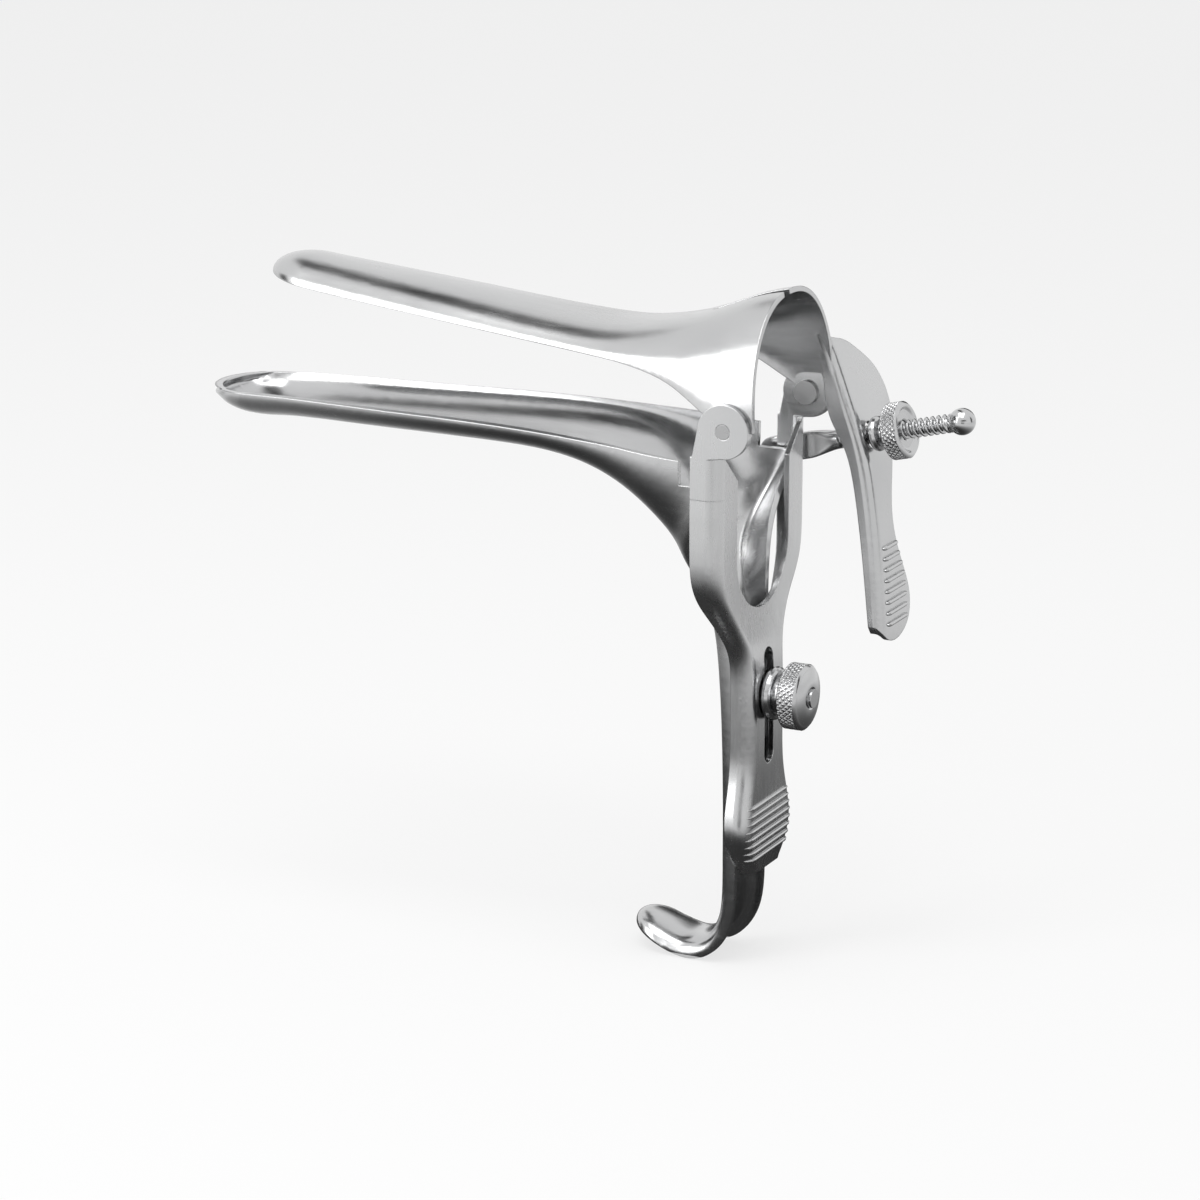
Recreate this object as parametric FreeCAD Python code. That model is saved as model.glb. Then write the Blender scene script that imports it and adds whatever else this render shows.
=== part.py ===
import FreeCAD, Part
import math
import os

# Bivalve speculum of stamped and polished stainless steel, in millimetres.
# The origin is the middle of the blades' pivot axis. X is the width, with the thumb lever
# and the adjusting screw on +X. Y points to the blade tips. Z is up.

V = FreeCAD.Vector

# Sheet stock and fits
LOWER_SHEET = 1.25
UPPER_SHEET = 1.2
YOKE_SHEET = 1.3
RUN_GAP = 0.06          # running clearance between a pin or face and what turns on it
SIDE_GAP = 0.25         # clearance of the stem's flanges inside the yoke's channel
CLEAR_GAP = 0.4         # clearance between sheets that pass each other

# Yoke
YOKE_HALF = 24.0        # half width over the arms
ARM_DEPTH = 7.0         # how far an arm's side reaches forward of its web
WEB_REAR = 0.8          # Y of the web's rear face beside the window
YOKE_CORNER = 3.2       # outer corner radius between web and sides
WINDOW_HALF = 14.0      # half width of the window
WINDOW_END = -45.0      # lowest point of the window
SHANK_FRONT = 4.0       # Y of the front edges of the shank's sides
SHANK_REAR = -1.2       # Y of the shank's rear face
PAD_HALF = 13.4         # half width of the ridged rest
YOKE_END = -106.5       # lowest point of the yoke
EAR_RADIUS = 6.1
RIVET_D = 3.4
RIVET_HEAD_D = 5.6
RIVET_HEAD = 0.9
BLADE_EAR = 5.8         # radius of the upper blade's ears
EAR_FACE = YOKE_HALF - YOKE_SHEET - RUN_GAP     # outer face of the upper blade's ears
EAR_PROUD = 0.08        # how far the ears' faces stand out from the bell's wall
EAR_THICK = UPPER_SHEET + 0.25
SCREW_RIVET_D = 3.0
SCREW_RIVET_HEAD_D = 5.0

# Slot, stud and lock nut
SLOT_TOP = -54.6
SLOT_BOTTOM = -81.8
SLOT_WIDTH = 5.0
STUD_Z = -65.2
STUD_D = 4.4
STUD_HEAD_D = 8.0
LOCK_COLLAR_D = 12.4
LOCK_COLLAR_LENGTH = 4.4
LOCK_NUT_D = 15.2
LOCK_NUT_LENGTH = 5.0

# Lower blade
LOWER_TIP = 141.9
LOWER_RIM_TIP = -7.0    # Z of the rim at the tip
LOWER_NOSE = 13.6       # length of the rounded tip
LOWER_TIP_HALF = 13.2   # half width where the rounded tip begins
LOWER_MID_HALF = 17.0
LOWER_DEPTH = 6.9
MOUTH_HALF = 22.0       # half width of the flared mouth
MOUTH_RIM = -8.4        # Z of the mouth's rim in front of the arms
WING_TOP = -13.6        # Z of the wings that stand between the arms
WING_REAR = 3.6         # Y of the wings' rear edges
NOTCH_FRONT = 11.6      # Y where the rim steps down to the wings
STEM_HALF = 8.35
STEM_FRONT = 8.0
STEM_REAR = 3.2
HOOK_BOTTOM = -124.0    # Z of the hook's upper face at its lowest
HOOK_TIP = 31.3
HOOK_FLANGE = 4.6
HOOK_NOSE = 8.4
HOOK_RISE = 1.4        # rise of the hook's lower edge where its rounded end begins
HOOK_SLOPE = 0.45      # rise of the hook's edge towards its tip

# Upper blade
UPPER_TIP = 125.5
UPPER_RIM_TIP = 22.2
UPPER_NOSE = 12.6
UPPER_TIP_HALF = 12.0
UPPER_MID_HALF = 14.8
UPPER_RISE = 5.6        # arch of the blade above its rims
UPPER_SLOPE = 0.17      # rise of the rim towards the tip
BELL_TOP = 28.2
BELL_REAR = -5.2        # Y of the bell's rear edge
SLIT_FRONT = 11.4
SLIT_X = -2.6
SLIT_WIDTH = 1.8

# Thumb lever, adjusting screw and nut
LEVER_END = -57.6
LEVER_CORNER = 2.4
LEVER_INSET = 0.25      # how far the lever's side stands inside the bell's outer face
SHOULDER_X = 41.8
WAIST_X = 31.2
THUMB_X = 38.0
SCREW_X = 27.0
SCREW_PIVOT_Y = 4.4
SCREW_PIVOT_Z = -14.0
SCREW_TILT = 13.5       # degrees by which the rod rises to the rear
SCREW_D = 4.4
SCREW_LENGTH = 41.2     # from the pivot to the middle of the ball
EYE_HEIGHT = 6.2
EYE_THICK = 2.2
BALL_D = 6.2
NUT_D = 13.1
NUT_LENGTH = 4.6
COLLAR_D = 8.2
COLLAR_LENGTH = 4.2
COLLAR_GAP = 0.5        # play between the lever's web and the collar
HOLE_STRETCH = 1.2
EYE_FRONT = 5.4         # from the pivot to the middle of the eye's rounded front end
EYE_BACK = 3.4
ROD_START = 9.0

ACROSS = 23             # points across a sheet's section
DENSE = 160


def vec_from(x, y, z):
    return V(float(x), float(y), float(z))


def even_points(points, count):
    """The same curve with points at equal distances along it."""
    lengths = [0.0]
    for first, second in zip(points, points[1:]):
        lengths.append(lengths[-1] + first.distanceToPoint(second))
    result = []
    segment = 0
    for step in range(count):
        target = lengths[-1] * step / (count - 1)
        while segment < len(points) - 2 and lengths[segment + 1] < target:
            segment += 1
        span = lengths[segment + 1] - lengths[segment]
        share = 0.0 if span == 0 else (target - lengths[segment]) / span
        result.append(points[segment] + (points[segment + 1] - points[segment]) * share)
    return result


def section(keel, rim, square=2.0, sweep=90.0):
    """A trough's section through keel (y, z) and both rims (x, y, z).

    square 2 is an ellipse and more is boxier; a sweep under 90 degrees is a flatter arc."""
    half, rim_y, rim_z = rim
    keel_y, keel_z = keel
    power = 2.0 / square
    reach = math.radians(sweep)
    dense = []
    for step in range(-DENSE, DENSE + 1):
        angle = reach * step / DENSE
        side = math.copysign(abs(math.sin(angle) / math.sin(reach)) ** power, angle)
        fall = (1 - math.cos(angle)) / (1 - math.cos(reach))
        lift = 1 - max(0.0, 1 - fall) ** power
        dense.append(vec_from(half * side, keel_y + (rim_y - keel_y) * lift, keel_z + (rim_z - keel_z) * lift))
    return even_points(dense, ACROSS)


def nose_rows(turns, start, rim_z, half, length, depth, slope=0.0):
    """Sections of a spoon tip: an ellipsoid cut by planes that lean forward as turn goes to 90.

    depth is negative where the trough opens upwards; slope is the rise of the rim along Y."""
    rows = []
    for turn in turns:
        lean = math.radians(turn)
        side_turn = math.radians(38.0) * (turn / 90.0) ** 1.3
        keel = (math.sin(lean), math.cos(lean))
        rim = (math.sin(side_turn), 0.0)
        gap = (rim[0] - keel[0], rim[1] - keel[1])
        size = math.hypot(*gap)
        radius = -(keel[0] * gap[0] + keel[1] * gap[1]) / size
        sweep = math.acos(1 - size / radius)
        keel_point = (length * keel[0], depth * keel[1])
        rim_point = (half * radius * math.sin(sweep), length * rim[0], 0.0)
        line = section(keel_point, rim_point, 2.0, math.degrees(sweep))
        rows.append([V(p.x, start + p.y, rim_z + p.z + slope * p.y) for p in line])
    return rows


def smooth_path(points, count):
    """Points at even parameters on the cubic curve that has the given points as its control polygon."""
    curve = Part.BSplineCurve()
    last = len(points) - 3
    knots = list(range(last + 1))
    curve.buildFromPolesMultsKnots(points, [4] + [1] * (last - 1) + [4], knots, False, 3)
    return [curve.value(last * step / (count - 1)) for step in range(count)]


def normals(rows):
    """Unit normals of a grid of points."""
    result = []
    last_row = len(rows) - 1
    for i, row in enumerate(rows):
        line = []
        for j in range(len(row)):
            ahead = rows[min(i + 1, last_row)][j] - rows[max(i - 1, 0)][j]
            across = row[min(j + 1, len(row) - 1)] - row[max(j - 1, 0)]
            line.append(ahead.cross(across))
        result.append(line)
    for i in (0, last_row):
        near = 1 if i == 0 else last_row - 1
        for j in (0, len(rows[i]) - 1):
            beside = 1 if j == 0 else j - 1
            result[i][j] = V(result[near][j]).normalize() + V(result[i][beside]).normalize()
    return [[vector.normalize() for vector in line] for line in result]


def spline_face(rows):
    surface = Part.BSplineSurface()
    surface.interpolate(rows)
    return surface


def offset_rows(rows, distance):
    """The grid of points moved by a distance along its normals."""
    result = []
    for row, line in zip(rows, normals(rows)):
        result.append([point + normal * distance for point, normal in zip(row, line)])
    return result


def sheet_solid(outer_rows, inner_rows):
    """A closed sheet between two grids of points."""
    outer = spline_face(outer_rows)
    inner = spline_face(inner_rows)
    first_u, last_u, first_v, last_v = outer.bounds()
    low_u, high_u, low_v, high_v = inner.bounds()
    pairs = [(outer.uIso(first_u), inner.uIso(low_u)), (outer.uIso(last_u), inner.uIso(high_u)),
             (outer.vIso(first_v), inner.vIso(low_v)), (outer.vIso(last_v), inner.vIso(high_v))]
    faces = [outer.toShape(), inner.toShape()]
    for edge, other in pairs:
        faces.append(Part.makeRuledSurface(edge.toShape(), other.toShape(), 1))
    shell = Part.makeShell(faces)
    shell.sewShape()
    solid = Part.makeSolid(shell)
    if solid.Volume < 0:
        solid.reverse()
    return solid


def body_rows(stations, per_station):
    """Sections along a sheet. A station is keel y, z, rim x, y, z, squareness."""
    count = per_station * len(stations)
    keel = smooth_path([V(0, row[0], row[1]) for row in stations], count)
    rims = smooth_path([V(row[2], row[3], row[4]) for row in stations], count)
    boxes = smooth_path([V(row[5], 0, 0) for row in stations], count)
    rows = []
    for bottom, rim, box in zip(keel, rims, boxes):
        rows.append(section((bottom.y, bottom.z), (rim.x, rim.y, rim.z), box.x))
    return rows


NOSE_TURNS = (90, 75, 60, 46, 32, 18)


def lower_sheet():
    """The lower blade from its tip through the mouth and stem to the tip of the hook."""
    nose_start = LOWER_TIP - LOWER_NOSE
    nose_rim = LOWER_RIM_TIP + 0.6
    rim_low = LOWER_RIM_TIP + 1.0
    low = rim_low - LOWER_DEPTH
    half = STEM_HALF
    rear = STEM_REAR
    deep = HOOK_BOTTOM
    hook_start = HOOK_TIP - HOOK_NOSE
    edge = HOOK_BOTTOM - HOOK_FLANGE
    hook_rim = edge + HOOK_RISE
    stations = [
        (nose_start, nose_rim - LOWER_DEPTH, LOWER_TIP_HALF, nose_start, nose_rim, 2.0),
        (nose_start - 10, low + 0.3, LOWER_TIP_HALF + 0.8, nose_start - 10, rim_low, 2.0),
        (105, low + 0.2, LOWER_MID_HALF - 2.2, 105, rim_low, 2.0),
        (90, low + 0.2, LOWER_MID_HALF - 1.1, 90, rim_low, 2.0),
        (75, low + 0.3, LOWER_MID_HALF, 75, rim_low + 0.2, 2.0),
        (62, low + 0.3, LOWER_MID_HALF + 0.9, 62, rim_low + 0.2, 2.0),
        (50, low, LOWER_MID_HALF + 1.9, 49, rim_low, 2.0),
        (39, low - 2.0, MOUTH_HALF - 1.9, 37, rim_low - 0.4, 2.1),
        (30.5, low - 6.3, MOUTH_HALF - 0.8, 26, rim_low - 0.9, 2.2),
        (24.5, low - 11.0, MOUTH_HALF, 18, MOUTH_RIM + 0.6, 2.3),
        (20.5, low - 15.2, MOUTH_HALF, 10, MOUTH_RIM + 0.4, 2.4),
        (18.0, low - 18.8, MOUTH_HALF, WING_REAR, MOUTH_RIM - 0.6, 2.4),
        (15.8, low - 22.8, MOUTH_HALF - 0.5, WING_REAR - 0.5, WING_TOP - 2.4, 2.5),
        (13.6, low - 27.5, MOUTH_HALF - 6.0, WING_REAR - 0.5, WING_TOP - 7.6, 2.6),
        (11.9, low - 33.0, half + 3.4, WING_REAR - 0.4, WING_TOP - 12.5, 2.7),
        (10.6, low - 40.0, half + 0.3, rear, WING_TOP - 20, 2.9),
        (9.6, low - 48.0, half, rear, WING_TOP - 34, 3.1),
        (STEM_FRONT + 0.8, low - 57.0, half, rear, WING_TOP - 48, 3.2),
        (STEM_FRONT + 0.3, low - 68.0, half, rear, WING_TOP - 62, 3.2),
        (STEM_FRONT, low - 80.0, half, rear, WING_TOP - 76, 3.2),
        (STEM_FRONT, deep + 17, half, rear, deep + 17, 3.2),
        (STEM_FRONT, deep + 10.5, half, rear + 0.1, deep + 8.6, 3.1),
        (STEM_FRONT + 0.7, deep + 4.6, half, rear + 1.4, deep + 2.6, 3.0),
        (11.6, deep + 0.7, half, 8.5, deep - 3.2, 2.8),
        (15.4, deep - 0.9, half, 13.6, edge - 0.8, 2.7),
        (18.9, deep - 0.4, half, 18.2, edge - 0.3, 2.5),
        (hook_start - 1.6, hook_rim + HOOK_FLANGE - 0.7, half - 0.1, hook_start - 1.6, hook_rim - 0.7, 2.2),
        (hook_start, hook_rim + HOOK_FLANGE, half - 0.2, hook_start, hook_rim, 2.0),
    ]
    body = body_rows(stations, 3)
    nose = (nose_start, nose_rim, LOWER_TIP_HALF, LOWER_NOSE, -LOWER_DEPTH)
    hook = (hook_start, hook_rim, half - 0.2, HOOK_NOSE, HOOK_FLANGE)
    turns_back = tuple(reversed(NOSE_TURNS))
    outer_nose = nose_rows(NOSE_TURNS, *nose)
    outer_hook = nose_rows(turns_back, *hook, HOOK_SLOPE)
    gap = LOWER_SHEET
    inner_nose = nose_rows(NOSE_TURNS, nose[0], nose[1], nose[2] - gap, nose[3] - gap, nose[4] + gap)
    inner_hook = nose_rows(turns_back, hook[0], hook[1], hook[2] - gap, hook[3] - gap, hook[4] - gap, HOOK_SLOPE)
    outer = outer_nose + body + outer_hook
    ends = len(NOSE_TURNS)
    inner_body = offset_rows(outer, LOWER_SHEET)[ends:-ends]
    return sheet_solid(outer, inner_nose + inner_body + inner_hook)


def block(low_x, high_x, low_y, high_y, low_z, high_z):
    return Part.makeBox(high_x - low_x, high_y - low_y, high_z - low_z, V(low_x, low_y, low_z))


def rod(diameter, start, end):
    """A round bar between two points."""
    way = end - start
    return Part.makeCylinder(diameter / 2, way.Length, start, way)


def lower_blade():
    notch = block(-30, 30, -5, NOTCH_FRONT, WING_TOP, 10)
    return lower_sheet().cut(notch)


def upper_sheet():
    """The upper blade from its tip to the rear edge of the bell."""
    nose_start = UPPER_TIP - UPPER_NOSE
    nose_rim = UPPER_RIM_TIP - UPPER_SLOPE * UPPER_NOSE
    half = EAR_FACE - EAR_PROUD
    rise = UPPER_RISE
    nose = (nose_start, nose_rim, UPPER_TIP_HALF, UPPER_NOSE, rise)
    stations = [
        (nose_start, nose_rim + rise, UPPER_TIP_HALF, nose_start, nose_rim, 2.0),
        (102, 18.9 + rise, UPPER_MID_HALF - 1.9, 102, 18.9, 2.0),
        (86, 17.3 + rise, UPPER_MID_HALF - 0.9, 86, 17.3, 2.0),
        (72, 15.9 + rise, UPPER_MID_HALF - 0.2, 72, 15.9, 2.0),
        (59, 14.6 + rise - 0.2, UPPER_MID_HALF + 0.4, 59, 14.6, 2.0),
        (46, 13.4 + rise - 0.2, UPPER_MID_HALF + 1.2, 46, 13.4, 2.0),
        (34, 12.4 + rise, UPPER_MID_HALF + 2.5, 33.5, 12.4, 2.0),
        (25, 19.2, UPPER_MID_HALF + 4.0, 23.5, 11.2, 2.1),
        (17.5, 20.7, half - 2.2, 14.8, 9.0, 2.2),
        (11.0, 22.8, half - 0.9, 8.5, 5.0, 2.3),
        (5.0, 25.2, half, 3.0, 1.4, 2.3),
        (0.0, BELL_TOP - 1.0, half, -2.0, 0.0, 2.3),
        (BELL_REAR, BELL_TOP, half, BELL_REAR - 1.4, 0.0, 2.3),
    ]
    body = body_rows(stations, 4)
    outer = nose_rows(NOSE_TURNS, *nose, UPPER_SLOPE) + body
    gap = UPPER_SHEET
    inner_nose = nose_rows(NOSE_TURNS, nose[0], nose[1], nose[2] - gap, nose[3] - gap, nose[4] - gap, UPPER_SLOPE)
    inner_body = offset_rows(outer, -gap)[len(NOSE_TURNS):]
    return sheet_solid(outer, inner_nose + inner_body)


def prism(points, start, way):
    """A closed outline of points pushed along a vector."""
    wire = Part.makePolygon(points + [points[0]])
    face = Part.Face(wire)
    face.translate(start)
    return face.extrude(way)


def bell_half(z):
    """Half width of the bell's rear edge at a height."""
    half = EAR_FACE - EAR_PROUD
    if z <= 0:
        return half
    return half * (1 - (z / BELL_TOP) ** 2.3) ** (1 / 2.3)


def lever_section(z, front, ridge):
    """The lever's angle section: a side on the bell's wall and a web that faces the rear."""
    outer = bell_half(z) - LEVER_INSET
    inner = outer - UPPER_SHEET
    turn = LEVER_CORNER
    small = turn - UPPER_SHEET
    far = SHOULDER_X + 3
    web = ridge + UPPER_SHEET
    slant = math.sqrt(0.5)
    edges = [
        Part.makeLine(V(inner, front, z), V(inner, ridge + turn, z)),
        Part.Arc(V(inner, ridge + turn, z), V(inner + turn * (1 - slant), ridge + turn * (1 - slant), z),
                 V(inner + turn, ridge, z)).toShape(),
        Part.makeLine(V(inner + turn, ridge, z), V(far, ridge, z)),
        Part.makeLine(V(far, ridge, z), V(far, web, z)),
        Part.makeLine(V(far, web, z), V(inner + turn, web, z)),
        Part.Arc(V(inner + turn, web, z), V(inner + turn - small * slant, ridge + turn - small * slant, z),
                 V(outer, ridge + turn, z)).toShape(),
        Part.makeLine(V(outer, ridge + turn, z), V(outer, front, z)),
        Part.makeLine(V(outer, front, z), V(inner, front, z)),
    ]
    return Part.Wire(edges)


LEVER_LINE = [
    # z, front edge y, ridge y
    (14.5, -2.6, -5.4),
    (8.0, -3.6, -7.2),
    (-1.0, -4.6, -10.4),
    (-6.0, -5.8, -12.4),
    (-11.5, -9.6, -14.3),
    (-18.0, -11.6, -15.9),
    (-29.0, -13.4, -17.6),
    (-42.0, -15.0, -19.0),
    (-58.5, -16.6, -19.9),
]


def lever_stations():
    """The lever's stations, rounded into a smooth line: x is the height, z the ridge's y."""
    return smooth_path([V(*station) for station in LEVER_LINE], 26)


def web_distance():
    """How far behind the screw's pivot the rod meets the rear face of the lever's web."""
    line = lever_stations()
    pivot = along_screw(0)
    way = along_screw(1) - pivot
    for high, low in zip(line, line[1:]):
        before = (high.z - pivot.y) / way.y
        after = (low.z - pivot.y) / way.y
        above = high.x - pivot.z - before * way.z
        below = low.x - pivot.z - after * way.z
        if above >= 0 >= below:
            return before + (after - before) * above / (above - below)
    raise ValueError("the rod misses the web")


def lever():
    blank = Part.makeLoft([lever_section(p.x, p.y, p.z) for p in lever_stations()], True, False)
    waist = WAIST_X
    outline = [
        V(19, 0, 14.2), V(20.4, 0, 13.6), V(27, 0, 11.8), V(34, 0, 8.0), V(39.6, 0, 3.4),
        V(SHOULDER_X, 0, -1.6), V(SHOULDER_X - 0.7, 0, -6.4), V(waist + 6.4, 0, -12.6), V(waist + 2.6, 0, -20),
        V(waist, 0, -29), V(waist + 1.2, 0, -36), V(THUMB_X - 2.2, 0, -43), V(THUMB_X, 0, -49.5),
        V(THUMB_X - 1.4, 0, -54.2), V(THUMB_X - 5, 0, LEVER_END + 0.8), V(28, 0, LEVER_END),
        V(23.2, 0, LEVER_END + 1.6), V(20.6, 0, LEVER_END + 5.4), V(19, 0, LEVER_END + 12),
    ]
    side = Part.BSplineCurve()
    side.interpolate(outline)
    closing = Part.makeLine(outline[-1], outline[0])
    face = Part.Face(Part.Wire([side.toShape(), closing]))
    face.translate(V(0, -30, 0))
    return blank.common(face.extrude(V(0, 40, 0)))


def upper_blade():
    bell = upper_sheet()
    half = SLIT_WIDTH / 2
    slit = prism([V(SLIT_X - half, SLIT_FRONT, 0), V(SLIT_X + half, SLIT_FRONT, 0),
                  V(SLIT_X + half + 1.0, BELL_REAR - 4, 0), V(SLIT_X - half - 0.4, BELL_REAR - 4, 0)],
                 V(0, 0, 12), V(0, 0, 24))
    slit = slit.fuse(Part.makeCylinder(half, 24, V(SLIT_X, SLIT_FRONT, 12)))
    shape = bell.cut(slit)
    for side in (-1, 1):
        inner = side * (EAR_FACE - EAR_THICK)
        outer = side * EAR_FACE
        disc = rod(2 * BLADE_EAR, V(inner, 0, 0), V(outer, 0, 0))
        shape = shape.fuse(disc)
    shape = shape.fuse(lever())
    for side in (-1, 1):
        bore = rod(RIVET_D + 2 * RUN_GAP, V(side * 15, 0, 0), V(side * 30, 0, 0))
        shape = shape.cut(bore)
    shape = shape.cut(lever_hole())
    return shape.removeSplitter()


def along_screw(distance, x=None):
    """A point on the adjusting screw's axis, at a distance behind its pivot."""
    tilt = math.radians(SCREW_TILT)
    return V(SCREW_X if x is None else x, SCREW_PIVOT_Y - distance * math.cos(tilt),
             SCREW_PIVOT_Z + distance * math.sin(tilt))


def lever_hole():
    """The hole in the lever's web, a little taller than wide so that the rod can tilt in it."""
    start = along_screw(web_distance() - 6)
    end = along_screw(web_distance() + 6)
    tilt = math.radians(SCREW_TILT)
    up = V(0, math.sin(tilt), math.cos(tilt)) * (HOLE_STRETCH / 2)
    bore = SCREW_D + 2 * CLEAR_GAP
    slot = rod(bore, start + up, end + up).fuse(rod(bore, start - up, end - up))
    return slot


def yoke_section(z, half, rear, front):
    """The yoke's channel section, open to the front."""
    corner = min(YOKE_CORNER, front - rear - 0.4)
    small = corner - YOKE_SHEET
    slant = math.sqrt(0.5)
    web = rear + YOKE_SHEET
    edges = []

    def run(*points):
        for first, second in zip(points, points[1:]):
            edges.append(Part.makeLine(V(first[0], first[1], z), V(second[0], second[1], z)))

    def bend(side, radius, start, end):
        mid_x = side * (half - corner + radius * slant)
        mid_y = rear + corner - radius * slant
        edges.append(Part.Arc(V(start[0], start[1], z), V(mid_x, mid_y, z), V(end[0], end[1], z)).toShape())

    wall = half - YOKE_SHEET
    knee = rear + corner
    run((-half, front), (-half, knee))
    bend(-1, corner, (-half, knee), (-half + corner, rear))
    run((-half + corner, rear), (half - corner, rear))
    bend(1, corner, (half - corner, rear), (half, knee))
    run((half, knee), (half, front), (wall, front), (wall, knee))
    bend(1, small, (wall, knee), (half - corner, web))
    run((half - corner, web), (-half + corner, web))
    bend(-1, small, (-half + corner, web), (-wall, knee))
    run((-wall, knee), (-wall, front), (-half, front))
    return Part.Wire(edges)


def yoke_line():
    """Stations down the yoke: z, half width, rear face y, front edge y."""
    arm = ARM_DEPTH + WEB_REAR
    rear = SHANK_REAR
    front = SHANK_FRONT
    shank = STEM_HALF + SIDE_GAP + YOKE_SHEET
    low = WINDOW_END
    end = YOKE_END
    return [
        (4, YOKE_HALF, WEB_REAR, arm),
        (low + 41, YOKE_HALF, WEB_REAR, arm),
        (low + 33, YOKE_HALF, WEB_REAR, arm),
        (low + 25, YOKE_HALF, WEB_REAR, arm),
        (low + 18, YOKE_HALF, WEB_REAR, arm),
        (low + 12, YOKE_HALF, WEB_REAR, arm - 0.1),
        (low + 7.5, YOKE_HALF - 0.9, WEB_REAR, arm - 0.5),
        (low + 3.5, YOKE_HALF - 3.4, WEB_REAR, arm - 1.2),
        (low - 0.5, YOKE_HALF - 7.2, WEB_REAR - 0.1, arm - 2.0),
        (low - 4.5, shank + 3.6, WEB_REAR - 0.6, front + 1.0),
        (low - 8.5, shank + 0.9, WEB_REAR - 1.3, front + 0.3),
        (low - 13, shank, rear + 0.2, front),
        (low - 20, shank, rear, front),
        (low - 30, shank, rear, front),
        (low - 37, shank + 0.1, rear, front),
        (end + 19, shank + 1.5, rear, front),
        (end + 14, PAD_HALF - 0.5, rear - 0.2, front),
        (end + 9.5, PAD_HALF, rear - 0.5, front - 0.3),
        (end + 5.5, PAD_HALF - 1.2, rear - 0.4, front - 0.9),
        (end + 2, PAD_HALF - 3.4, rear - 0.2, front - 1.5),
        (end, PAD_HALF - 5.4, rear, front - 2.0),
    ]


def yoke_stations():
    """The yoke's stations, rounded into smooth lines and closely spaced."""
    line = yoke_line()
    count = 2 * len(line)
    widths = smooth_path([V(z, half, 0) for z, half, rear, front in line], count)
    faces = smooth_path([V(z, rear, front) for z, half, rear, front in line], count)
    return [(width.x, width.y, face.y, face.z) for width, face in zip(widths, faces)]


def yoke_at(z, column):
    """A value of the yoke's stations at a height: 1 half width, 2 rear face, 3 front edge."""
    line = yoke_stations()
    for high, low in zip(line, line[1:]):
        if low[0] <= z <= high[0]:
            share = (high[0] - z) / (high[0] - low[0])
            return high[column] + (low[column] - high[column]) * share
    return line[-1][column]


def window():
    """The U-shaped window between the arms, with its flared top."""
    half = WINDOW_HALF
    centre = WINDOW_END + half
    wide = YOKE_HALF - YOKE_SHEET - 2.0
    top = -EAR_RADIUS - 0.6
    points = [V(-half, 0, centre), V(half, 0, centre), V(half, 0, top - 6.4), V(wide, 0, top), V(wide, 0, 8),
              V(-wide, 0, 8), V(-wide, 0, top), V(-half, 0, top - 6.4)]
    body = prism(points, V(0, -8, 0), V(0, 30, 0))
    return body.fuse(Part.makeCylinder(half, 30, V(0, -8, centre), V(0, 1, 0)))


def slot_cutter():
    half = SLOT_WIDTH / 2
    body = block(-half, half, -8, 3, SLOT_BOTTOM + half, SLOT_TOP - half)
    for z in (SLOT_BOTTOM + half, SLOT_TOP - half):
        body = body.fuse(Part.makeCylinder(half, 11, V(0, -8, z), V(0, 1, 0)))
    return body


def yoke():
    arm = ARM_DEPTH + WEB_REAR
    top = -BLADE_EAR - CLEAR_GAP
    straight = -2.6 * EAR_RADIUS
    lower = Part.makeLoft([yoke_section(*station) for station in yoke_stations()], True, False)
    lower = lower.cut(block(-40, 40, -20, 30, straight, 20))
    arms = Part.Face(yoke_section(straight, YOKE_HALF, WEB_REAR, arm)).extrude(V(0, 0, top - straight))
    shape = lower.fuse(arms).cut(window()).cut(slot_cutter())
    for side in (-1, 1):
        outer = side * YOKE_HALF
        inner = side * (YOKE_HALF - YOKE_SHEET)
        disc = rod(2 * EAR_RADIUS, V(inner, 0, 0), V(outer, 0, 0))
        plate = prism([V(0, EAR_RADIUS, 0), V(0, arm - 0.5, -EAR_RADIUS), V(0, arm, -2 * EAR_RADIUS),
                       V(0, WEB_REAR + YOKE_CORNER, -2 * EAR_RADIUS), V(0, WEB_REAR + YOKE_CORNER, top - 0.4),
                       V(0, WEB_REAR, top), V(0, WEB_REAR - 0.4, 1 - EAR_RADIUS)],
                      V(inner, 0, 0), V(outer - inner, 0, 0))
        shape = shape.fuse(disc).fuse(plate)
    for side in (-1, 1):
        shape = shape.cut(rod(RIVET_D, V(side * 15, 0, 0), V(side * 30, 0, 0)))
    pivot = V(0, SCREW_PIVOT_Y, SCREW_PIVOT_Z)
    shape = shape.cut(rod(SCREW_RIVET_D, pivot + V(15, 0, 0), pivot + V(30, 0, 0)))
    return shape.removeSplitter()


def pivot_rivet(side):
    """Flush outside, with a low head on the inside of the blade's ear."""
    face = side * YOKE_HALF
    seat = side * (EAR_FACE - EAR_THICK - RUN_GAP)
    inside = seat - side * RIVET_HEAD
    shank = rod(RIVET_D, V(face, 0, 0), V(seat, 0, 0))
    return shank.fuse(rod(RIVET_HEAD_D, V(seat, 0, 0), V(inside, 0, 0))).removeSplitter()


def screw_rivet():
    start = V(YOKE_HALF - YOKE_SHEET, SCREW_PIVOT_Y, SCREW_PIVOT_Z)
    outside = YOKE_HALF + RUN_GAP + EYE_THICK + RUN_GAP
    seat = V(outside, SCREW_PIVOT_Y, SCREW_PIVOT_Z)
    head = rod(SCREW_RIVET_HEAD_D, seat, seat + V(RIVET_HEAD, 0, 0))
    return rod(SCREW_RIVET_D, start, seat).fuse(head).removeSplitter()


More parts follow.
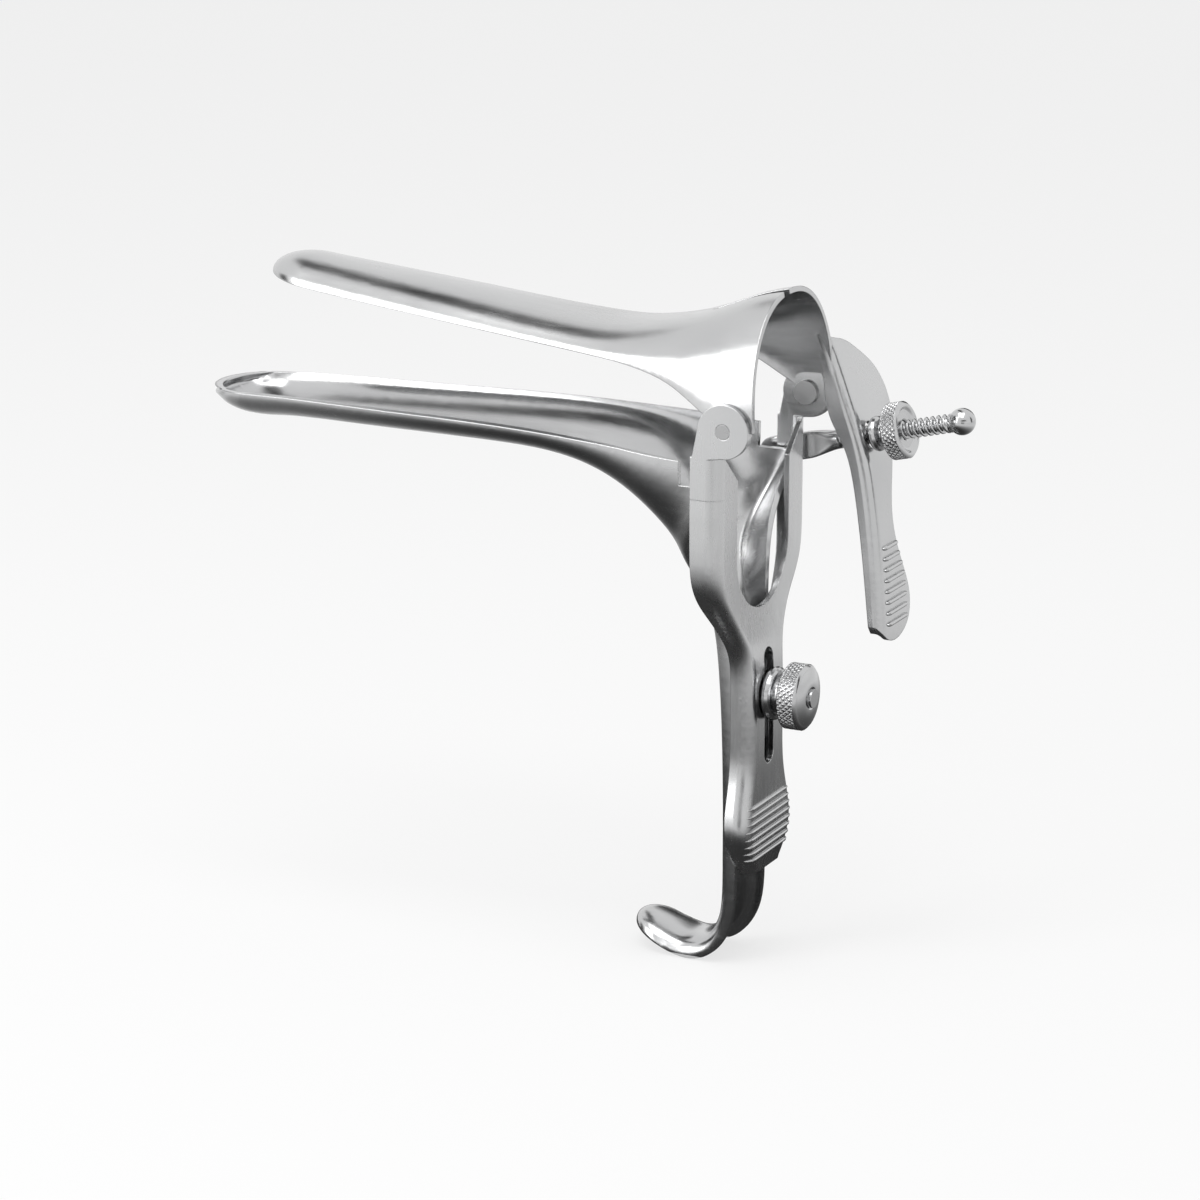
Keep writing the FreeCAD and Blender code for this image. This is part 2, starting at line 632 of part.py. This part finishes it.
def turned(profile, origin, way):
    """A turned piece: profile is (distance, radius) along way from origin."""
    points = [V(radius, 0, distance) for distance, radius in profile]
    wire = Part.makePolygon(points + [points[0]])
    solid = Part.Face(wire).revolve(V(0, 0, 0), V(0, 0, 1), 360)
    turn = FreeCAD.Rotation(V(0, 0, 1), way)
    solid.Placement = FreeCAD.Placement(origin, turn)
    return solid


def knurled_nut(diameter, length, bore, origin, way, dome):
    """A nut with a knurled band, bevelled edges and a domed or dished rear face."""
    radius = diameter / 2
    bevel = 0.7
    hole = bore / 2
    return turned([(0, hole), (0, radius - bevel), (bevel, radius), (length - bevel, radius),
                   (length, radius - bevel), (length + dome * 0.6, radius * 0.62), (length + dome, hole)],
                  origin, way)


def collar(diameter, length, bore, origin, way):
    """A rounded ring with a neck behind it."""
    radius = diameter / 2
    hole = bore / 2
    ring = 0.62 * length
    points = [(0, hole)]
    for step in range(7):
        angle = math.pi * step / 6
        points.append((ring / 2 * (1 - math.cos(angle)), radius - ring / 2 + ring / 2 * math.sin(angle)))
    points += [(ring, 0.68 * radius), (length, 0.68 * radius), (length, hole)]
    return turned(points, origin, way)


def lock_parts():
    """Distances of the lock's pieces behind the yoke's rear face at the stud."""
    rear = yoke_at(STUD_Z, 2)
    start = V(0, rear - RUN_GAP, STUD_Z)
    back = V(0, -1, 0)
    nut_start = start + back * (LOCK_COLLAR_LENGTH + RUN_GAP)
    bore = STUD_D + 2 * RUN_GAP
    return start, nut_start, back, bore


def slide_stud():
    start, nut_start, back, bore = lock_parts()
    seat = V(0, STEM_FRONT - LOWER_SHEET, STUD_Z)
    end = nut_start + back * (LOCK_NUT_LENGTH + 1.6)
    head = rod(STUD_HEAD_D, seat, seat + back * 1.6)
    return rod(STUD_D, seat, end).fuse(head).removeSplitter()


def lock_collar():
    start, nut_start, back, bore = lock_parts()
    return collar(LOCK_COLLAR_D, LOCK_COLLAR_LENGTH, bore, start, back)


def lock_nut():
    start, nut_start, back, bore = lock_parts()
    return knurled_nut(LOCK_NUT_D, LOCK_NUT_LENGTH, bore, nut_start, back, 0.9)


def screw_way():
    return along_screw(1) - along_screw(0)


def adjusting_screw():
    """A threaded rod whose front end is flattened into an eye."""
    middle = YOKE_HALF + RUN_GAP + EYE_THICK / 2
    tilt = FreeCAD.Rotation(V(1, 0, 0), -SCREW_TILT)
    flat = Part.makeBox(EYE_THICK, EYE_BACK, EYE_HEIGHT, V(-EYE_THICK / 2, -EYE_BACK, -EYE_HEIGHT / 2))
    tongue = Part.makeBox(EYE_THICK, EYE_FRONT, EYE_HEIGHT, V(-EYE_THICK / 2, 0, -EYE_HEIGHT / 2))
    nose = Part.makeCylinder(EYE_HEIGHT / 2, EYE_THICK, V(-EYE_THICK / 2, EYE_FRONT, 0), V(1, 0, 0))
    rect = Part.makePolygon([V(-EYE_THICK / 2, -EYE_BACK, -EYE_HEIGHT / 2), V(EYE_THICK / 2, -EYE_BACK, -EYE_HEIGHT / 2),
                             V(EYE_THICK / 2, -EYE_BACK, EYE_HEIGHT / 2), V(-EYE_THICK / 2, -EYE_BACK, EYE_HEIGHT / 2),
                             V(-EYE_THICK / 2, -EYE_BACK, -EYE_HEIGHT / 2)])
    radius = SCREW_D / 2
    shift = SCREW_X - middle
    slant = radius * math.sqrt(0.5)
    corners = [V(shift - slant, 0, -slant), V(shift + slant, 0, -slant), V(shift + slant, 0, slant),
               V(shift - slant, 0, slant)]
    mids = [V(shift, 0, -radius), V(shift + radius, 0, 0), V(shift, 0, radius), V(shift - radius, 0, 0)]
    ring = []
    for step in range(4):
        ring.append(Part.Arc(corners[step], mids[step], corners[(step + 1) % 4]).toShape())
    circle = Part.Wire(ring)
    circle.translate(V(0, -ROD_START, 0))
    blend = Part.makeLoft([rect, circle], True, True)
    shaft = rod(SCREW_D, V(shift, -ROD_START, 0), V(shift, -SCREW_LENGTH + 0.5, 0))
    body = flat.fuse(tongue).fuse(nose).fuse(blend).fuse(shaft)
    body = body.cut(rod(SCREW_RIVET_D + 2 * RUN_GAP, V(-5, 0, 0), V(5, 0, 0)))
    body = body.removeSplitter()
    body.Placement = FreeCAD.Placement(V(middle, SCREW_PIVOT_Y, SCREW_PIVOT_Z), tilt)
    return body


def ball_stop():
    ball = Part.makeSphere(BALL_D / 2, along_screw(SCREW_LENGTH))
    return ball.cut(rod(SCREW_D, along_screw(SCREW_LENGTH - 10), along_screw(SCREW_LENGTH - 0.5)))


def adjusting_collar():
    start = along_screw(web_distance() + COLLAR_GAP)
    return collar(COLLAR_D, COLLAR_LENGTH, SCREW_D + 2 * RUN_GAP, start, screw_way())


def adjusting_nut():
    start = along_screw(web_distance() + COLLAR_GAP + COLLAR_LENGTH + RUN_GAP)
    return knurled_nut(NUT_D, NUT_LENGTH, SCREW_D + 2 * RUN_GAP, start, screw_way(), -0.8)


PARTS = {
    "lower_blade": lower_blade,
    "upper_blade": upper_blade,
    "yoke": yoke,
    "pivot_rivet_left": lambda: pivot_rivet(-1),
    "pivot_rivet_right": lambda: pivot_rivet(1),
    "screw_rivet": screw_rivet,
    "slide_stud": slide_stud,
    "lock_collar": lock_collar,
    "lock_nut": lock_nut,
    "adjusting_screw": adjusting_screw,
    "ball_stop": ball_stop,
    "adjusting_collar": adjusting_collar,
    "adjusting_nut": adjusting_nut,
}

if __name__ == "__main__":
    os.makedirs("parts", exist_ok=True)
    for name, make in PARTS.items():
        shape = make()
        shape.exportStep("parts/" + name + ".step")
        box = shape.BoundBox
        print(name, shape.isValid(), len(shape.Solids), round(shape.Volume, 1), box)
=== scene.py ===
import math

import bmesh
import bpy
import numpy as np
from mathutils import Matrix, Quaternion, Vector


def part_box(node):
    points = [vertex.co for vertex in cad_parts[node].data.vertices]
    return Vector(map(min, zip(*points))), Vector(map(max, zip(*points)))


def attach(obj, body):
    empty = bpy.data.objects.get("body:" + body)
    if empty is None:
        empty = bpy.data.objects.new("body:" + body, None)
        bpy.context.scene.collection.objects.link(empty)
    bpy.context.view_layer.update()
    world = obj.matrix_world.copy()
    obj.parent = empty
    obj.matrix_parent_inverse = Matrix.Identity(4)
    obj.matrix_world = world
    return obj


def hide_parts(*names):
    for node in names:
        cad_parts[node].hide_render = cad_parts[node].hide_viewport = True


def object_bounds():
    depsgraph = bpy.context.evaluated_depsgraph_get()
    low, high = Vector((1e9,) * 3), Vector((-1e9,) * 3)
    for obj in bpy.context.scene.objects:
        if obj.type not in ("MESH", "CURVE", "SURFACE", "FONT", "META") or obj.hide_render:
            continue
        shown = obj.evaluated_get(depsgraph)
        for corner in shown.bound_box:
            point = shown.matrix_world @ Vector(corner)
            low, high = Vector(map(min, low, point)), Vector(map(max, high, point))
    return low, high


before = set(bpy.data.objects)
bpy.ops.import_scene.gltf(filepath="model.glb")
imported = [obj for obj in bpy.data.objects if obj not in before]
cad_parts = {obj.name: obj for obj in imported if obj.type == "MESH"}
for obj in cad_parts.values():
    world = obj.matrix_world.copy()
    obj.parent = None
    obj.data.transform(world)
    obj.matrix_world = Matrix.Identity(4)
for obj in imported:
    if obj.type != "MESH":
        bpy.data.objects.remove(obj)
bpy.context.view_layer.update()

MM = 0.001

# Places and sizes shared with the part's source, in millimetres
SCREW_PIVOT = Vector((27.0, 4.4, -14.0))
SCREW_TILT = math.radians(13.5)
SCREW_WAY = Vector((0.0, -math.cos(SCREW_TILT), math.sin(SCREW_TILT)))
BACK = Vector((0.0, -1.0, 0.0))


# Materials

def steel(name, rough=0.13, along=(1.0, 1.0, 1.0), tone=0.62, bump=0.004, edge=0.3):
    """Polished stainless steel: fine polishing lines, faint clouding and rounded edges."""
    mat = bpy.data.materials.new(name)
    mat.use_nodes = True
    tree = mat.node_tree
    nodes = tree.nodes
    links = tree.links
    shader = nodes["Principled BSDF"]
    shader.inputs["Metallic"].default_value = 1.0
    coords = nodes.new("ShaderNodeTexCoord")
    lines_map = nodes.new("ShaderNodeMapping")
    lines_map.inputs["Scale"].default_value = along
    links.new(coords.outputs["Object"], lines_map.inputs["Vector"])
    lines = nodes.new("ShaderNodeTexNoise")
    lines.inputs["Scale"].default_value = 900.0
    lines.inputs["Detail"].default_value = 4.0
    links.new(lines_map.outputs["Vector"], lines.inputs["Vector"])
    clouds = nodes.new("ShaderNodeTexNoise")
    clouds.inputs["Scale"].default_value = 38.0
    clouds.inputs["Detail"].default_value = 3.0
    links.new(coords.outputs["Object"], clouds.inputs["Vector"])
    rough_range = nodes.new("ShaderNodeMapRange")
    rough_range.inputs["From Min"].default_value = 0.3
    rough_range.inputs["From Max"].default_value = 0.7
    rough_range.inputs["To Min"].default_value = rough * 0.75
    rough_range.inputs["To Max"].default_value = rough * 1.35
    mixed = nodes.new("ShaderNodeMix")
    mixed.inputs["Factor"].default_value = 0.55
    links.new(lines.outputs["Fac"], mixed.inputs["A"])
    links.new(clouds.outputs["Fac"], mixed.inputs["B"])
    links.new(mixed.outputs["Result"], rough_range.inputs["Value"])
    links.new(rough_range.outputs["Result"], shader.inputs["Roughness"])
    shade = nodes.new("ShaderNodeValToRGB")
    shade.color_ramp.elements[0].position = 0.3
    shade.color_ramp.elements[0].color = (tone * 0.94, tone * 0.945, tone * 0.955, 1)
    shade.color_ramp.elements[1].position = 0.7
    shade.color_ramp.elements[1].color = (tone * 1.03, tone * 1.035, tone * 1.04, 1)
    links.new(clouds.outputs["Fac"], shade.inputs["Fac"])
    links.new(shade.outputs["Color"], shader.inputs["Base Color"])
    relief = nodes.new("ShaderNodeBump")
    relief.inputs["Strength"].default_value = 0.25
    relief.inputs["Distance"].default_value = bump * MM
    links.new(lines.outputs["Fac"], relief.inputs["Height"])
    rounded = nodes.new("ShaderNodeBevel")
    rounded.samples = 6
    rounded.inputs["Radius"].default_value = edge * MM
    links.new(rounded.outputs["Normal"], relief.inputs["Normal"])
    links.new(relief.outputs["Normal"], shader.inputs["Normal"])
    return mat


BLADE = steel("polished_blade", 0.22, along=(1.0, 0.12, 1.0), tone=0.56, edge=0.3)
YOKE = steel("polished_yoke", 0.24, along=(1.0, 1.0, 0.15), tone=0.56, edge=0.3)
TURNED = steel("turned_steel", 0.18, tone=0.56, edge=0.12)
RIVET = steel("filed_rivet", 0.3, tone=0.42, edge=0.15)

CAD_FINISH = {
    "lower_blade": BLADE,
    "upper_blade": BLADE,
    "yoke": YOKE,
    "pivot_rivet_left": RIVET,
    "pivot_rivet_right": RIVET,
    "screw_rivet": RIVET,
    "slide_stud": TURNED,
    "lock_collar": TURNED,
    "lock_nut": TURNED,
    "adjusting_screw": TURNED,
    "ball_stop": TURNED,
    "adjusting_collar": TURNED,
    "adjusting_nut": TURNED,
}
for node, mat in CAD_FINISH.items():
    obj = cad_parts[node]
    obj.data.materials.clear()
    obj.data.materials.append(mat)


def add_mesh(name, verts, faces, mat, body, smooth_angle=40.0, bevel=0.0):
    """A piece from points in millimetres, riding on a body."""
    mesh = bpy.data.meshes.new(name)
    mesh.from_pydata([(x * MM, y * MM, z * MM) for x, y, z in verts], [], faces)
    work = bmesh.new()
    work.from_mesh(mesh)
    bmesh.ops.remove_doubles(work, verts=work.verts, dist=1e-7)
    bmesh.ops.recalc_face_normals(work, faces=work.faces)
    work.to_mesh(mesh)
    work.free()
    mesh.validate()
    obj = bpy.data.objects.new(name, mesh)
    bpy.context.scene.collection.objects.link(obj)
    obj.data.materials.append(mat)
    if bevel:
        edge = obj.modifiers.new("edge", "BEVEL")
        edge.width = bevel * MM
        edge.segments = 2
        edge.limit_method = "ANGLE"
        edge.angle_limit = math.radians(35)
    for poly in mesh.polygons:
        poly.use_smooth = True
    mesh.set_sharp_from_angle(angle=math.radians(smooth_angle))
    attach(obj, body)
    return obj


def lathe(profile, origin, way, radius_at=None, around=144):
    """A turned piece. profile is (distance, radius); radius_at may change a radius by turn and distance."""
    turn = Vector((0, 0, 1)).rotation_difference(way)
    verts = []
    faces = []
    for distance, radius in profile:
        for step in range(around):
            angle = 2 * math.pi * step / around
            r = radius if radius_at is None else radius_at(distance, radius, step / around)
            point = Vector((r * math.cos(angle), r * math.sin(angle), distance))
            verts.append(origin + turn @ point)
    rows = len(profile)
    for row in range(rows - 1):
        for step in range(around):
            ahead = (step + 1) % around
            faces.append((row * around + step, row * around + ahead, (row + 1) * around + ahead,
                          (row + 1) * around + step))
    return verts, faces, around, rows


def capped(verts, faces, around, rows):
    """Flat ends for a turned piece."""
    faces = list(faces)
    faces.append(tuple(reversed(range(around))))
    faces.append(tuple(range((rows - 1) * around, rows * around)))
    return verts, faces


def along_screw(distance):
    return SCREW_PIVOT + SCREW_WAY * distance


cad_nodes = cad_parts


# The adjusting screw: a coarse polished thread between the eye's taper and the ball

THREAD_START = 10.4
THREAD_END = 38.6
PITCH = 1.5
THREAD_R = 2.2


def thread_radius(distance, turn):
    """Radius of a rounded 60 degree thread, run out gently at both ends."""
    phase = (distance / PITCH + turn) % 1.0
    wave = 1.0 - abs(2.0 * phase - 1.0)
    crest = min(1.0, max(0.0, (wave - 0.14) / 0.70))
    crest = crest * crest * (3 - 2 * crest)
    fade = min(1.0, (distance - THREAD_START) / 1.5, (THREAD_END - distance) / 1.0)
    fade = max(0.0, fade)
    deep = 0.72 * fade
    return THREAD_R - deep * (1.0 - crest) - 0.01


def add_thread():
    steps = int((THREAD_END - THREAD_START) / PITCH * 20)
    profile = [(THREAD_START - 0.3, 0.02), (THREAD_START - 0.3, THREAD_R - 0.01)]
    for step in range(steps + 1):
        profile.append((THREAD_START + (THREAD_END - THREAD_START) * step / steps, THREAD_R))
    profile += [(THREAD_END + 0.4, THREAD_R - 0.01), (THREAD_END + 0.4, 0.02)]

    def shape(distance, radius, turn):
        if radius < 1 or distance < THREAD_START or distance > THREAD_END:
            return radius
        return thread_radius(distance, -turn)

    verts, faces, around, rows = lathe(profile, along_screw(0), SCREW_WAY, shape, 56)
    return add_mesh("screw_thread", *capped(verts, faces, around, rows), TURNED, "adjusting_screw", 60)


def add_eye():
    """The flattened front end of the screw, with its taper to the round rod."""
    middle_x = 24.0 + 0.06 + 1.1
    shift = SCREW_PIVOT.x - middle_x
    half = 1.1
    reach = 5.4
    height = 3.1
    stations = []
    for angle in range(90, -1, -10):
        lean = math.radians(angle)
        stations.append((reach + height * math.sin(lean), 0.0, half, max(height * math.cos(lean), 0.25), 1.0))
    for y in (3.2, 1.2, -1.2, -3.4):
        stations.append((y, 0.0, half, height, 1.0))
    for step in range(1, 13):
        share = step / 12
        ease = share * share * (3 - 2 * share)
        stations.append((-3.4 - (THREAD_START - 3.4) * share, shift * ease, half + (THREAD_R - half) * ease,
                         height + (THREAD_R - height) * ease, 1.0 - ease))
    around = 64
    verts = []
    faces = []
    tilt = Matrix.Rotation(-SCREW_TILT, 3, "X")
    for y, x, wide, tall, box in stations:
        power = 2.0 / (2.0 + 7.0 * box)
        for step in range(around):
            angle = 2 * math.pi * step / around
            c = math.cos(angle)
            s = math.sin(angle)
            px = wide * math.copysign(abs(c) ** power, c)
            pz = tall * math.copysign(abs(s) ** power, s)
            point = tilt @ Vector((x + px, y, pz))
            verts.append(point + Vector((middle_x, SCREW_PIVOT.y, SCREW_PIVOT.z)))
    rows = len(stations)
    for row in range(rows - 1):
        for step in range(around):
            ahead = (step + 1) % around
            faces.append((row * around + step, row * around + ahead, (row + 1) * around + ahead,
                          (row + 1) * around + step))
    obj = add_mesh("screw_eye", *capped(verts, faces, around, rows), BLADE, "adjusting_screw", 50)
    return obj


# Knurled nuts

def knurl(radius, low, high, depth, teeth, turns):
    """Diamond knurling: crossed helical grooves on a band between two distances."""
    def shape(distance, r, turn):
        if distance <= low or distance >= high or r < radius - 0.3:
            return r
        edge = min(1.0, (distance - low) / 0.25, (high - distance) / 0.25)
        along = (distance - low) / (high - low) * turns
        first = abs(((turn * teeth + along) % 1.0) * 2 - 1)
        second = abs(((turn * teeth - along) % 1.0) * 2 - 1)
        groove = max(0.0, 1 - first / 0.5, 1 - second / 0.5)
        return r - depth * groove * edge
    return shape


def add_nut(name, body, origin, way, diameter, length, bore, dome, teeth, node):
    """A thumb nut: knurled band between bevels, a turned face and a bored middle."""
    radius = diameter / 2
    hole = bore / 2
    bevel = 0.62
    profile = [(0.9, hole), (0.0, hole + 0.35), (0.0, radius - bevel - 0.5), (0.08, radius - bevel - 0.12)]
    profile += [(bevel - 0.12, radius - 0.12), (bevel, radius - 0.02)]
    bands = 30
    for step in range(bands + 1):
        profile.append((bevel + 0.02 + (length - 2 * bevel - 0.04) * step / bands, radius))
    profile += [(length - bevel, radius - 0.02), (length - bevel + 0.12, radius - 0.12)]
    rim = length - 0.05
    profile += [(rim, radius - bevel - 0.05), (length, radius - bevel - 0.3)]
    for step in range(1, 11):
        share = step / 10
        r = (radius - bevel - 0.3) + (hole + 0.35 - (radius - bevel - 0.3)) * share
        if dome > 0:
            lift = dome * math.sin(share * math.pi / 2)
        else:
            lift = dome * min(1.0, share / 0.35) ** 1.5
        profile.append((length + lift, r))
    profile += [(length + dome - 0.25, hole), (length + dome - 1.2, hole)]
    shape = knurl(radius, bevel, length - bevel, 0.34, teeth, 2.5)
    verts, faces, around, rows = lathe(profile, origin, way, shape, teeth * 16)
    faces = list(faces)
    for step in range(around):
        ahead = (step + 1) % around
        faces.append(((rows - 1) * around + step, (rows - 1) * around + ahead, ahead, step))
    obj = add_mesh(name, verts, faces, TURNED, body, 35)
    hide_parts(node)
    return obj


def add_bar(name, points, normals, mat, body, width, height):
    """A raised rounded rib that follows points on a surface; normals point out of it."""
    around = 10
    verts = []
    faces = []
    count = len(points)
    for index, (point, normal) in enumerate(zip(points, normals)):
        ahead = points[min(index + 1, count - 1)] - points[max(index - 1, 0)]
        across = ahead.normalized().cross(normal).normalized()
        taper = 1.0
        gap = min(index, count - 1 - index)
        if gap < 3:
            taper = (0.02, 0.62, 0.9)[gap]
        for step in range(around):
            angle = 2 * math.pi * step / around
            offset = across * (math.cos(angle) * width / 2 * taper) + normal * (math.sin(angle) * height * taper)
            verts.append(point + offset)
    for row in range(count - 1):
        for step in range(around):
            ahead = (step + 1) % around
            faces.append((row * around + step, row * around + ahead, (row + 1) * around + ahead,
                          (row + 1) * around + step))
    return add_mesh(name, *capped(verts, faces, around, count), mat, body, 60)


def surface_point(node, start, way):
    """Where a ray first meets a CAD node, in millimetres, with the surface's normal."""
    hit, point, normal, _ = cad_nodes[node].ray_cast(start * MM, way)
    if not hit:
        return None
    return point / MM, normal


def add_ridges(prefix, node, body, heights, side_x, mat, width, height):
    """Parallel ribs across a rest, found on the node's rear face."""
    made = []
    for number, z in enumerate(heights):
        low, high = side_x(z)
        points = []
        normals = []
        for step in range(25):
            x = low + (high - low) * step / 24
            found = surface_point(node, Vector((x, -60.0, z)), Vector((0, 1, 0)))
            if found is None:
                continue
            points.append(found[0] + found[1] * 0.02)
            normals.append(found[1])
        made.append(add_bar(f"{prefix}_{number + 1}", points, normals, mat, body, width, height))
    return made


bpy.context.view_layer.update()

thread = add_thread()
eye = add_eye()
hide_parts("adjusting_screw")
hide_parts("adjusting_screw")

WEB_DISTANCE = 18.547
add_nut("adjusting_nut_knurled", "adjusting_nut", along_screw(WEB_DISTANCE + 0.5 + 4.2 + 0.06), SCREW_WAY, 13.1, 4.6,
        4.52, -0.8, 32, "adjusting_nut")
lock_start = Vector((0, -1.2, -65.2)) + BACK * (0.06 + 4.4 + 0.06)
lock_low, lock_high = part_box("lock_nut")
lock_start.y = lock_high.y / MM
add_nut("lock_nut_knurled", "lock_nut", lock_start, BACK, 15.2, 5.0, 4.52, 0.9, 36, "lock_nut")


def pad_reach(z):
    middle = -97.0
    half = 11.9 * math.sqrt(max(0.1, 1 - ((z - middle) / 15.0) ** 2))
    return -half, half


def thumb_reach(z):
    share = (z + 49.5) / 18.0
    right = 37.0 - 5.0 * share * share
    return 24.0, right - 1.0


add_ridges("rest_ridge", "yoke", "yoke", [-90.4 - 1.75 * i for i in range(8)], pad_reach, YOKE, 0.95, 0.5)
add_ridges("thumb_ridge", "upper_blade", "upper_blade", [-35.4 - 2.55 * i for i in range(8)], thumb_reach, BLADE,
           1.15, 0.75)


# Floor, light and camera

def plain(name, colour, strength=0.0):
    mat = bpy.data.materials.new(name)
    mat.use_nodes = True
    shader = mat.node_tree.nodes["Principled BSDF"]
    shader.inputs["Base Color"].default_value = (*colour, 1)
    shader.inputs["Roughness"].default_value = 0.9
    shader.inputs["Specular IOR Level"].default_value = 0.1
    return mat


low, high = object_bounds()
floor_z = low.z - 0.0002
bpy.ops.mesh.primitive_plane_add(size=12, location=(0, 0, floor_z))
floor = bpy.context.object
floor.name = "floor"
floor_mat = plain("pale_floor", (0.86, 0.86, 0.86))
floor.data.materials.append(floor_mat)

tree = floor_mat.node_tree
path = tree.nodes.new("ShaderNodeLightPath")
glow = tree.nodes.new("ShaderNodeEmission")
glow.inputs["Color"].default_value = (1, 1, 1, 1)
glow.inputs["Strength"].default_value = 1.0
seen = tree.nodes.new("ShaderNodeMath")
seen.operation = "MAXIMUM"
tree.links.new(path.outputs["Is Camera Ray"], seen.inputs[0])
tree.links.new(path.outputs["Is Glossy Ray"], seen.inputs[1])
part_seen = tree.nodes.new("ShaderNodeMath")
part_seen.operation = "MULTIPLY"
part_seen.inputs[1].default_value = 0.72
tree.links.new(seen.outputs[0], part_seen.inputs[0])
blend = tree.nodes.new("ShaderNodeMixShader")
tree.links.new(part_seen.outputs[0], blend.inputs["Fac"])
tree.links.new(tree.nodes["Principled BSDF"].outputs["BSDF"], blend.inputs[1])
tree.links.new(glow.outputs["Emission"], blend.inputs[2])
tree.links.new(blend.outputs["Shader"], tree.nodes["Material Output"].inputs["Surface"])

world = bpy.data.worlds.new("studio")
bpy.context.scene.world = world
world.use_nodes = True
wtree = world.node_tree
back = wtree.nodes["Background"]
back.inputs["Color"].default_value = (1, 1, 1, 1)
back.inputs["Strength"].default_value = 0.55
white = wtree.nodes.new("ShaderNodeBackground")
white.inputs["Color"].default_value = (1, 1, 1, 1)
white.inputs["Strength"].default_value = 1.0
wpath = wtree.nodes.new("ShaderNodeLightPath")
wseen = wtree.nodes.new("ShaderNodeMath")
wseen.operation = "MAXIMUM"
wtree.links.new(wpath.outputs["Is Camera Ray"], wseen.inputs[0])
wtree.links.new(wpath.outputs["Is Glossy Ray"], wseen.inputs[1])
wmix = wtree.nodes.new("ShaderNodeMixShader")
wtree.links.new(wseen.outputs[0], wmix.inputs["Fac"])
wtree.links.new(back.outputs["Background"], wmix.inputs[1])
wtree.links.new(white.outputs["Background"], wmix.inputs[2])
wtree.links.new(wmix.outputs["Shader"], wtree.nodes["World Output"].inputs["Surface"])


def aim(obj, target):
    way = Vector(target) - obj.location
    obj.rotation_euler = way.to_track_quat("-Z", "Y").to_euler()


def lamp(name, place, target, size, power):
    data = bpy.data.lights.new(name, "AREA")
    data.shape = "RECTANGLE"
    data.size = size[0]
    data.size_y = size[1]
    data.energy = power
    obj = bpy.data.objects.new(name, data)
    bpy.context.scene.collection.objects.link(obj)
    obj.location = place
    aim(obj, target)
    return obj


CENTRE = (0.0, 0.04, -0.04)
lamp("top_softbox", (-0.3, 0.0, 0.9), CENTRE, (0.7, 0.7), 5.0)
lamp("left_softbox", (-0.8, 0.6, 0.35), CENTRE, (0.5, 0.8), 4.0)


def card(name, place, target, size, shade, soft=0.45):
    """A grey studio card with soft edges that only the metal's reflections see."""
    mesh = bpy.data.meshes.new(name)
    mesh.from_pydata([(-0.5, -0.5, 0), (0.5, -0.5, 0), (0.5, 0.5, 0), (-0.5, 0.5, 0)], [], [(0, 1, 2, 3)])
    obj = bpy.data.objects.new(name, mesh)
    bpy.context.scene.collection.objects.link(obj)
    obj.scale = (size[0], size[1], 1)
    obj.location = place
    aim(obj, target)
    mat = bpy.data.materials.new(name)
    mat.use_nodes = True
    nodes = mat.node_tree.nodes
    links = mat.node_tree.links
    nodes.remove(nodes["Principled BSDF"])
    dark = nodes.new("ShaderNodeEmission")
    dark.inputs["Color"].default_value = (shade, shade, shade, 1)
    clear = nodes.new("ShaderNodeBsdfTransparent")
    spot = nodes.new("ShaderNodeTexCoord")
    length = nodes.new("ShaderNodeVectorMath")
    length.operation = "LENGTH"
    links.new(spot.outputs["Object"], length.inputs[0])
    fade = nodes.new("ShaderNodeMapRange")
    fade.interpolation_type = "SMOOTHSTEP"
    fade.inputs["From Min"].default_value = 0.5 * (1 - soft)
    fade.inputs["From Max"].default_value = 0.5
    links.new(length.outputs["Value"], fade.inputs["Value"])
    mix = nodes.new("ShaderNodeMixShader")
    links.new(fade.outputs["Result"], mix.inputs["Fac"])
    links.new(dark.outputs["Emission"], mix.inputs[1])
    links.new(clear.outputs["BSDF"], mix.inputs[2])
    links.new(mix.outputs["Shader"], nodes["Material Output"].inputs["Surface"])
    mesh.materials.append(mat)
    obj.visible_camera = False
    obj.visible_shadow = False
    obj.visible_diffuse = False
    return obj


card("card_under", (0.0, 0.04, floor_z + 0.001), (0.0, 0.04, 5.0), (0.8, 0.8), 0.05, 0.8)
card("card_front", (-1.3, -0.9, 0.55), CENTRE, (2.0, 0.45), 0.03)
card("card_low_front", (-1.1, -0.55, -0.02), CENTRE, (0.8, 0.34), 0.16)
card("card_left", (-0.5, 1.7, 0.25), CENTRE, (0.9, 1.5), 0.03)
card("card_rear", (0.5, -1.5, 0.35), CENTRE, (0.6, 1.5), 0.03)
card("card_top", (0.3, 0.3, 1.3), CENTRE, (0.5, 2.6), 0.05)
card("card_right", (1.4, 0.2, 0.3), CENTRE, (1.0, 1.1), 0.03)

cam_data = bpy.data.cameras.new("camera")
cam = bpy.data.objects.new("camera", cam_data)
bpy.context.scene.collection.objects.link(cam)
cam_data.sensor_width = 36
cam_data.lens = 4100 / 1200 * 36
look = Vector((0.8616, 0.4315, -0.2672)).normalized()
right = Vector((0.4478, -0.8942, 0.0)).normalized()
up = right.cross(look).normalized()
cam.matrix_world = Matrix((
    (right.x, up.x, -look.x, -0.8118),
    (right.y, up.y, -look.y, -0.3648),
    (right.z, up.z, -look.z, 0.2029),
    (0, 0, 0, 1),
))
bpy.context.scene.camera = cam

bpy.context.scene.view_settings.view_transform = "Standard"
